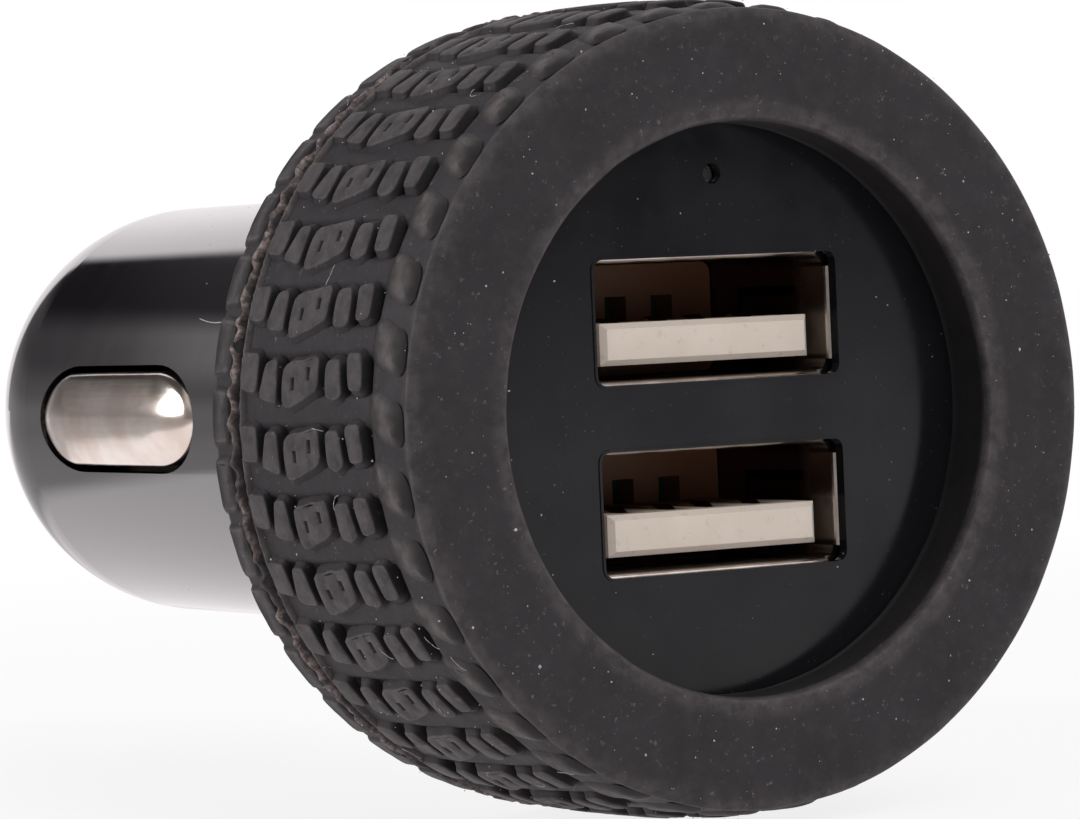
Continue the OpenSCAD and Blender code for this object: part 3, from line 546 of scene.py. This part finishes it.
def cap_triangles(outline, slits):
    """A block's top as points and triangles: the outline's own points come first, and slits stay open.

    Also gives the four rim corners of each slit.
    """
    flat = [Vector(p) for p in outline]
    rims = []
    for t, s, wide, long in slits:
        rims.append(list(range(len(flat), len(flat) + 4)))
        for x, y in ((-1, -1), (1, -1), (1, 1), (-1, 1)):
            flat.append(Vector((t + x * wide / 2, s + y * long / 2)))
    flat.append(Vector(np.mean(outline, axis=0) + (0.1 if slits else 0, 0)))
    points, _, triangles, origins, _, _ = delaunay_2d_cdt(
        flat, [], [list(range(len(outline)))] + rims, 1, 1e-7, True
    )
    source = []
    for point, origin in zip(points, origins):
        source.append(origin[0] if origin else len(flat))
        if not origin:
            flat.append(point)
    kept = []
    for triangle in triangles:
        x, y = sum((points[i] for i in triangle), Vector((0, 0))) / 3
        if not any(abs(x - t) < wide / 2 and abs(y - s) < long / 2 for t, s, wide, long in slits):
            kept.append([source[i] for i in triangle])
    return flat, kept, rims


def block_template(corners, slits, side):
    """One tread block as points (t, arc, h, painted shade) and faces, with its slits cut into the top."""
    count = BLOCK_POINTS
    outline = rounded(corners, LUG_CORNER_R if side is LUG_SIDE else BLOCK_CORNER_R, count)
    normal = inward(outline)
    share = np.abs(normal)
    points, faces = [], []
    for facing_bar, facing_gap, height in side:
        moved = outline + normal * (facing_bar * share[:, :1] + facing_gap * share[:, 1:])
        # Painted shade on the low part of the sides that face the next bar.
        shade = 0.75 * np.clip((0.27 - height) / 0.12, 0, 1) * np.clip(1.5 * share[:, 0] - 0.4, 0, 1)
        points += [(t, s, height, dark) for (t, s), dark in zip(moved, shade)]
    rings = len(side)
    for ring in range(rings - 1):
        for i in range(count):
            k = (i + 1) % count
            a, b = ring * count, (ring + 1) * count
            faces.append((a + i, a + k, b + k, b + i))
    top = (rings - 1) * count
    flat, triangles, rims = cap_triangles([p[:2] for p in points[top:top + count]], slits)
    place = {i: top + i for i in range(count)}
    for i in range(count, len(flat)):
        place[i] = len(points)
        points.append((flat[i].x, flat[i].y, side[-1][2] + 0.005, 0))
    faces += [tuple(place[i] for i in triangle) for triangle in triangles]
    for rim in rims:
        base = len(points)
        # The slits' floors take full painted shade.
        points += [(flat[i].x, flat[i].y, 0.0, 1) for i in rim]
        for i in range(4):
            k = (i + 1) % 4
            faces.append((place[rim[i]], place[rim[k]], base + k, base + i))
        faces.append(tuple(base + i for i in range(4)))
    return points, faces


# The sides of the front shoulder's worn lugs and of the rear edge's low ones, written as SIDE is
LUG_SIDE = [
    (-0.2, -0.2, -0.04), (-0.1, -0.1, 0.03), (0.0, 0.0, 0.08), (0.08, 0.08, 0.12),
    (0.17, 0.17, 0.15), (0.27, 0.27, 0.17), (0.37, 0.37, 0.18),
]
REAR_SIDE = [
    (-0.12, -0.12, -0.04), (-0.04, -0.05, 0.015), (0.0, 0.0, 0.055), (0.02, 0.04, 0.08),
    (0.05, 0.1, 0.103), (0.1, 0.18, 0.12), (0.2, 0.3, 0.128),
]

# The blocks of one row: the outline's corners as (t, arc), by how many rows it is moved round the tyre,
# its slits as (t, arc, width, length) and its side
BLOCKS = {
    "front_bar": (
        [(3.5, -1.25), (4.55, -1.2), (4.6, -0.8), (4.35, 0.55), (3.4, 0.5), (3.32, 0.2)], 0, (), SIDE,
    ),
    "front_inner_bar": (
        [(5.1, -0.95), (6.05, -0.9), (6.2, -0.6), (6.12, 0.85), (5.4, 0.95), (4.82, 0.7)], 0, (), SIDE,
    ),
    "centre_block": (
        [(6.72, -1.1), (9.45, -0.75), (9.75, -0.5), (9.75, 1.15), (9.4, 1.35), (7.9, 0.95), (6.72, 0.5)],
        0, ((7.5, -0.25, 0.34, 0.55), (8.8, 0.2, 0.34, 0.55)), SIDE,
    ),
    "rear_inner_bar": (
        [(10.35, -0.95), (11.3, -0.9), (11.85, 0.65), (11.7, 0.85), (10.3, 1), (10.25, 0.8)], 0, (), SIDE,
    ),
    "rear_bar": ([(12.1, -1.15), (13.55, -1.2), (13.55, 0.45), (12.3, 0.55), (12.1, 0.3)], 0, (), SIDE),
    "front_lug": (
        [(0.8, -0.35), (2.85, -1.2), (2.85, 0.65), (0.8, 1.4)], 0.5, (), LUG_SIDE,
    ),
    "rear_lug": (
        [(14.75, -1.2), (16.36, -1.3), (16.36, 1.3), (14.85, 1.25), (14.65, 0.8)], 0.5, (), REAR_SIDE,
    ),
}


def tread(rng):
    """All the tread blocks, each a little different, as a moulding from a worn tool is."""
    verts, faces, marks = [], [], no_marks()
    for name, (corners, offset, slits, side) in BLOCKS.items():
        points, template = block_template(corners, slits, side)
        middle_t = sum(c[0] for c in corners) / len(corners)
        base = rear_floor if name == "rear_lug" else tread_floor
        low_painted_light = 0.6 if name == "front_lug" else 0.35
        full = side[-1][2]
        for row in range(ROWS):
            theta = ROW_ANGLE + (row + offset) * ROW_PITCH
            shift_t, shift_s = rng.gauss(0, 0.02), rng.gauss(0, 0.03)
            scale = 1 + rng.gauss(0, 0.02)
            height = 1 + rng.gauss(0, 0.04)
            first = len(verts)
            for t, s, h, dark in points:
                t_now = min(middle_t + (t - middle_t) * scale + shift_t, TYRE_W - 0.03)
                wobble = noise.noise(Vector((t_now * 1.3, s * 1.3, row * 3.7))) * 0.08
                rise = h * height + (wobble * 0.35 if h > 0.1 else 0)
                r = min(base(t_now) + rise, TYRE_R)
                angle = theta + (s * scale + shift_s + wobble) / TYRE_R
                verts.append(round_axis(r, angle, max(t_now, 0.12)))
                # Painted light by height over the groove floor, and painted shade on the bars' lower sides
                # from the template.
                marks["painted_light"].append(low_painted_light + (1 - low_painted_light) * max(h, 0) / full)
                marks["slot"].append(dark)
                # Block top edges lighter for wear and as a painted highlight; the front lugs lighter
                # towards their tops.
                edge_wear_and_highlight = 0.45 if 0.85 < h / full < 0.96 else 0.12 if h > 0.8 * full else 0.0
                marks["wear_and_highlight"].append(0.5 * max(h, 0) / full if name == "front_lug" else edge_wear_and_highlight)
                marks["flash"].append(0.0)
            faces += [tuple(first + i for i in face) for face in template]
    return verts, faces, marks


def flash_ring():
    """The ragged strip of flash that swings along the mould's parting line."""
    rows = [(-0.24, -0.3), (-0.13, 0.08), (0.0, 0.17), (0.14, 0.1), (0.3, -0.12)]
    verts, faces, marks = [], [], no_marks()
    segments = FLASH_SEGMENTS
    for i in range(segments):
        theta = 2 * math.pi * i / segments
        fine = noise.noise(Vector((math.cos(theta) * 40, math.sin(theta) * 40, 5)))
        wide = noise.noise(Vector((math.cos(theta) * 5, math.sin(theta) * 5, 9)))
        middle = FLASH_T + 0.26 * flash_wave(theta) + 0.12 * fine
        for k, (t, h) in enumerate(rows):
            t_now = middle + t * (1 + 0.5 * fine)
            ridge = 0 < k < len(rows) - 1
            rise = h * (1 + 0.9 * fine) if ridge else h
            verts.append(round_axis(min(rear_floor(t_now) + rise, TYRE_R), theta, t_now))
            tan = min(max(0.55 + 1.3 * wide + 0.6 * fine, 0), 0.9)
            marks["flash"].append(tan * (0.9 if ridge else 0.1))
            marks["painted_light"].append(0.8)
            # Painted shade along the flash's front edge.
            marks["slot"].append(0.7 if k == 0 else 0.0)
            # Wear and a painted highlight along the flash's crest.
            marks["wear_and_highlight"].append(0.35 if k == 2 else 0.0)
    count = len(rows)
    for i in range(segments):
        here, after = i * count, (i + 1) % segments * count
        faces += [(here + j, after + j, after + j + 1, here + j + 1) for j in range(count - 1)]
    return verts, faces, marks


def make_tyre(finish, rng):
    """The sleeve, its blocks and its flash, in place of the CAD's tyre."""
    verts, faces, marks = carcass()
    tyre = mesh_piece("tyre_sleeve", verts, faces, finish, attributes=marks)
    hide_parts("tyre")
    verts, faces, marks = tread(rng)
    mesh_piece("tread_blocks", verts, faces, finish, attributes=marks)
    verts, faces, marks = flash_ring()
    mesh_piece("mould_flash", verts, faces, finish, attributes=marks)


# ---------------------------------------------------------------- contacts

# A side contact, in millimetres: where its middle lies along the plug, and the size of its long oval
CONTACT_Y = 24.8
CONTACT_REACH = 4.2
CONTACT_END = 3.8
CONTACT_HALF_W = 2.3
# Its height over the axis: a rounded ridge that slopes to both sides, bent down at the ends and the rim
CONTACT_TOP = 11.25
CONTACT_CROWN = 0.77
CONTACT_SLOPE = 0.62
CONTACT_BEND_R = 8.3
CONTACT_EDGE = 0.14
CONTACT_RIM_DROP = 0.15
CONTACT_BASE = 8.2


def contact_height(y, z):
    """Height of the crowned sheet over the axis at a place in its outline."""
    crown_drop = math.hypot(CONTACT_CROWN, CONTACT_SLOPE * z) - CONTACT_CROWN
    past = max(abs(y) - CONTACT_REACH, 0)
    return CONTACT_TOP - crown_drop - (CONTACT_BEND_R - math.sqrt(CONTACT_BEND_R ** 2 - past * past))


def make_contact(name, side, finish):
    """A stamped side contact: a long crowned oval with a soft edge and straight walls into its slot."""
    around, rings, wall_steps = 96, 18, 3
    verts, faces = [], []
    for ring in range(rings + wall_steps + 1):
        share = min(ring / rings, 1)
        for i in range(around):
            a = 2 * math.pi * i / around
            spine = CONTACT_REACH * (1 if math.cos(a) > 0 else -1) * min(abs(math.cos(a)) * 8, 1)
            spine *= 0.02 + 0.98 * min(1, share * 3)
            y = spine + CONTACT_END * math.cos(a) * share
            z = CONTACT_HALF_W * math.sin(a) * share
            x = contact_height(y, z)
            past = max(share - (1 - CONTACT_EDGE), 0) / CONTACT_EDGE
            x -= CONTACT_RIM_DROP * (1 - math.sqrt(max(1 - past * past, 0)))
            if ring > rings:
                x = x + (CONTACT_BASE - x) * (ring - rings) / wall_steps
            verts.append((side * x, CONTACT_Y + y, z))
    total = rings + wall_steps
    for ring in range(total):
        for i in range(around):
            k = (i + 1) % around
            here, below = ring * around, (ring + 1) * around
            face = (here + i, here + k, below + k, below + i)
            faces.append(face if side > 0 else face[::-1])
    piece = mesh_piece(name + "_cup", verts, faces, finish, body=name)
    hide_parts(name)


# ---------------------------------------------------------------- springs


def flexing(node, name, finish):
    """A spring in its node's own shape, copied to ride the head in place of its node."""
    made = bpy.data.objects.new(name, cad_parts[node].data.copy())
    made.data.materials.clear()
    made.data.materials.append(finish)
    bpy.context.scene.collection.objects.link(made)
    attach(made, "head")
    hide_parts(node)
    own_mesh(made)


def make_springs(finishes):
    """The two leaf springs and the coil."""
    for word, side in (("left", -1), ("right", 1)):
        flexing(word + "_leaf_spring", word + "_leaf_strip",
                finishes["spring_brass"])
    flexing("tip_spring", "tip_spring_coil",
            finishes["spring_steel"])


# ---------------------------------------------------------------- dust

SPECKS = 850
SPECK_R = 0.031  # the middle one's
SPECK_MAX_R = 0.09
FIBRES = 16
FIBRE_R = 0.012
FIBRE_STEP = 0.12
HAIR_R = 0.02


def within_sleeve(point):
    """The point, brought inside the sleeve's radius and behind its front face."""
    shrink = min(TYRE_R / math.hypot(point[0], point[2]), 1)
    return point[0] * shrink, max(point[1], FRONT_Y), point[2] * shrink


def speck(centre, radius, rng):
    """A tiny uneven octahedron of dust."""
    verts = []
    for axis in ((1, 0, 0), (-1, 0, 0), (0, 1, 0), (0, -1, 0), (0, 0, 1), (0, 0, -1)):
        tip = [c + a * radius * rng.uniform(0.5, 1.2) for c, a in zip(centre, axis)]
        verts.append(within_sleeve(tip))
    faces = [(0, 2, 4), (2, 1, 4), (1, 3, 4), (3, 0, 4), (2, 0, 5), (1, 2, 5), (3, 1, 5), (0, 3, 5)]
    return verts, faces


def dust_specks(finish, rng):
    """White specks on the sidewall and the tread, and a few on the plate and the barrel."""
    verts, faces = [], []
    for _ in range(SPECKS):
        theta = rng.uniform(0, 2 * math.pi)
        size = min(rng.lognormvariate(math.log(SPECK_R), 0.5), SPECK_MAX_R)
        choice = rng.random()
        if choice < 0.27:
            centre = round_axis(rng.uniform(MOUTH_R + 0.3, RIDGE_R - 0.3), theta, 0.05)
        elif choice < 0.9:
            t = rng.uniform(0.4, 16)
            centre = round_axis(min(tread_floor(t) + rng.choice((0.02, 0.39)), TYRE_R - 0.04), theta, t)
        elif choice < 0.96:
            centre = round_axis(rng.uniform(8.5, 12), theta, LIP_T - 0.005)
        else:
            centre = round_axis(BARREL_R, theta, TYRE_W + rng.uniform(8, 34))
        join(verts, faces, *speck(centre, size, rng))
    mesh_piece("dust_specks", verts, faces, finish, smooth=False)


def fibre(path, radius, sides=5):
    """A thin tube along a path."""
    verts, faces = [], []
    for i, p in enumerate(path):
        ahead = path[min(i + 1, len(path) - 1)] - path[max(i - 1, 0)]
        across = ahead.orthogonal().normalized()
        other = ahead.normalized().cross(across)
        for k in range(sides):
            a = 2 * math.pi * k / sides
            verts.append(tuple(p + (across * math.cos(a) + other * math.sin(a)) * radius))
    for i in range(len(path) - 1):
        for k in range(sides):
            n = (k + 1) % sides
            faces.append((i * sides + k, i * sides + n, (i + 1) * sides + n, (i + 1) * sides + k))
    return verts, faces


def edge_hair():
    """The path of the hair that stands off the sleeve's rear edge, on the side of the photograph."""
    steps = 14
    path = []
    for step in range(steps + 1):
        s = step / steps
        theta = math.radians(164.2 + 0.8 * math.sin(2.6 * s))
        path.append(Vector(round_axis(17.75 + 0.75 * s, theta, 15.6 + 1.9 * s)))
    return path


def dust_fibres(finish, rng):
    """Short pale fibres lying on the visible side of the tread, and the hair on its rear edge."""
    steps = 8
    verts, faces = [], []
    for _ in range(FIBRES):
        theta = rng.uniform(math.radians(110), math.radians(260))
        t = rng.uniform(1, 15)
        turn, heading = rng.uniform(-2.5, 2.5), rng.uniform(0, 2 * math.pi)
        path = []
        for step in range(steps + 1):
            heading += turn / steps
            theta += math.sin(heading) * FIBRE_STEP / TYRE_R
            t = min(max(t + math.cos(heading) * FIBRE_STEP, 0.4), 16)
            r = min(crown(t) + 0.01 * math.sin(step / steps * 9), TYRE_R - 0.02)
            path.append(Vector(round_axis(r, theta, t)))
        join(verts, faces, *fibre(path, FIBRE_R))
    join(verts, faces, *fibre(edge_hair(), HAIR_R))
    mesh_piece("dust_fibres", verts, faces, finish)


# ---------------------------------------------------------------- stage

def make_camera():
    """The photograph's camera."""
    a, e, roll = CAM_AZIMUTH, CAM_ELEVATION, CAM_ROLL
    right0 = Vector((math.cos(a), math.sin(a), 0))
    back = Vector((math.sin(a) * math.cos(e), -math.cos(a) * math.cos(e), math.sin(e)))
    up0 = back.cross(right0)
    right = right0 * math.cos(roll) - up0 * math.sin(roll)
    up = right0 * math.sin(roll) + up0 * math.cos(roll)
    depth = CAM_DISTANCE
    x = (CAM_AIM[0] - PHOTO_SIZE[0] / 2) / CAM_FOCAL * depth
    y = -(CAM_AIM[1] - PHOTO_SIZE[1] / 2) / CAM_FOCAL * depth
    aim = Vector((0, FRONT_Y, 0))
    place = (aim - (right * x + up * y - back * depth)) * MM
    data = bpy.data.cameras.new("camera")
    data.sensor_width = CAM_SENSOR
    data.lens = CAM_FOCAL / PHOTO_SIZE[0] * CAM_SENSOR
    data.clip_start, data.clip_end = 0.01, 10
    camera = bpy.data.objects.new("camera", data)
    rotation = Matrix((right, up, back)).transposed()
    camera.matrix_world = Matrix.Translation(place) @ rotation.to_4x4()
    bpy.context.scene.collection.objects.link(camera)
    bpy.context.scene.camera = camera


def make_world():
    """Studio surroundings by direction, so that the gloss barrel mirrors the bands of the photograph.

    Behind the plug, the right half is a white backdrop. The left half is grey near the floor and a little
    lighter over it, except straight behind, with a dark room higher up. In front the room is dim, darkest
    on the right, with light from above and a strip high up on the right. The camera sees plain white.
    """
    world = bpy.data.worlds.new("studio")
    bpy.context.scene.world = world
    world.use_nodes = True
    tree = Tree(world.node_tree)
    x, y, z = tree.split(tree.node("TexCoord").outputs["Generated"])
    right = tree.ramp(z, 0.08, 0.36, 0.9, 1.05)
    left = tree.ramp(z, 0.08, 0.24, 0.22, tree.ramp(y, 0.884, 0.897, 0.42, 0.1))
    left = tree.math("ADD", left, tree.ramp(z, 0.0, 0.1, 0.13, 0.0))
    left = tree.math("MULTIPLY", left, tree.ramp(z, 0.31, 0.41, 1.0, 0.12))
    back_light = tree.blend(tree.ramp(x, 0.045, 0.12), left, right)
    high = tree.math("MULTIPLY", tree.ramp(z, 0.3, 0.9, 0.0, 0.8), tree.ramp(x, -0.4, 0.3, 0.5, 1.0))
    strip = tree.math("MULTIPLY", tree.ramp(x, 0.3, 0.48), tree.ramp(z, 0.4, 0.65, 0.0, 0.7))
    front_light = tree.math("ADD", tree.ramp(x, -0.5, 0.35, 0.2, 0.04), tree.math("ADD", high, strip))
    level = tree.blend(tree.ramp(y, -0.15, 0.25), front_light, back_light)
    camera_ray = tree.node("LightPath").outputs["Is Camera Ray"]
    background = tree.node("Background")
    tree.feed(background.inputs["Color"], tree.mix(camera_ray, STUDIO_TINT, WHITE))
    tree.feed(background.inputs["Strength"], tree.blend(camera_ray, level, 1.0))
    out = tree.node("OutputWorld")
    tree.feed(out.inputs[0], background.outputs[0])


def lamp(name, place, target, size, power):
    """A round soft lamp that looks at a target."""
    data = bpy.data.lights.new(name, "AREA")
    data.shape = "DISK"
    data.size = size
    data.energy = power
    made = bpy.data.objects.new(name, data)
    made.location = Vector(place)
    made.rotation_mode = "QUATERNION"
    made.rotation_quaternion = (Vector(target) - Vector(place)).to_track_quat("-Z", "Y")
    bpy.context.scene.collection.objects.link(made)


def make_floor():
    """A pale matt table just under the sleeve, that shows white and keeps the shadow.

    It gives the object a share of its own light, and its mirror image is dimmed far off on the left.
    """
    size = 3.0
    z = (-TYRE_R - 0.05) * MM
    data = bpy.data.meshes.new("table")
    corners = [(-size, -size, z), (size, -size, z), (size, size, z), (-size, size, z)]
    data.from_pydata(corners, [], [(0, 1, 2, 3)])
    made = bpy.data.objects.new("table", data)
    bpy.context.scene.collection.objects.link(made)
    finish, tree = material("table_paper")
    paper = tree.node("BsdfDiffuse")
    fleck = tree.noise(900, 3)
    tree.feed(paper.inputs["Color"], tree.mix(fleck, (0.86, 0.86, 0.86, 1), (0.9, 0.9, 0.9, 1)))
    white = tree.node("Emission")
    path = tree.node("LightPath")
    seen = tree.math("ADD", path.outputs["Is Camera Ray"], path.outputs["Is Glossy Ray"], clamp=True)
    seen = tree.math("ADD", seen, path.outputs["Is Transmission Ray"], clamp=True)
    away = tree.node("VectorMath", operation="LENGTH")
    tree.feed(away.inputs[0], tree.place())
    away = away.outputs["Value"]
    left = tree.ramp(tree.split(tree.place())[0], -0.03, 0.05, 1.0, 0.0)
    dim = tree.math("MULTIPLY", tree.ramp(away, 0.072, 0.088, 0.0, 0.65), left)
    dim = tree.math("MULTIPLY", path.outputs["Is Glossy Ray"], dim)
    tree.feed(white.inputs["Strength"], tree.math("SUBTRACT", 1.0, dim))
    tree.feed(white.inputs["Color"], tree.mix(path.outputs["Is Camera Ray"], STUDIO_TINT, WHITE))
    blend = tree.node("MixShader")
    glow = tree.math("MULTIPLY", seen, tree.ramp(away, 0.06, 0.25, 0.84, 1.0))
    tree.feed(blend.inputs[0], tree.math("MAXIMUM", glow, 0.55))
    tree.feed(blend.inputs[1], paper.outputs[0])
    tree.feed(blend.inputs[2], white.outputs[0])
    out = tree.node("OutputMaterial")
    tree.feed(out.inputs["Surface"], blend.outputs[0])
    data.materials.append(finish)


def make_lights():
    """A key from the left and behind, and a fill from the front and above."""
    lamp("side", (-0.5, 0.25, 0.23), (0, 0, 0), 0.32, 1.8)
    lamp("front", (-0.02, -0.5, 0.42), (0, -0.01, 0), 0.4, 1.5)


# ---------------------------------------------------------------- build

def dress_nodes(finishes):
    """Gives each CAD node the finish of its material slot, whose name its own material carries."""
    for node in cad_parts.values():
        slot_name = node.data.materials[0].name.split(".")[0]
        node.data.materials.clear()
        node.data.materials.append(finishes[slot_name])


def main():
    rng = random.Random(SEED)
    finishes = slot_materials()
    dress_nodes(finishes)
    make_tyre(finishes["tyre_rubber"], rng)
    make_contact("left_contact", -1, finishes["nickel"])
    make_contact("right_contact", 1, finishes["nickel"])
    make_springs(finishes)
    lint = plain("lint", rgb(150, 148, 150), rgb(205, 203, 205), 0.9, 5000)
    dust_specks(lint, rng)
    dust_fibres(lint, rng)
    make_world()
    make_floor()
    make_lights()
    make_camera()
    bpy.context.scene.view_settings.view_transform = "Standard"


main()
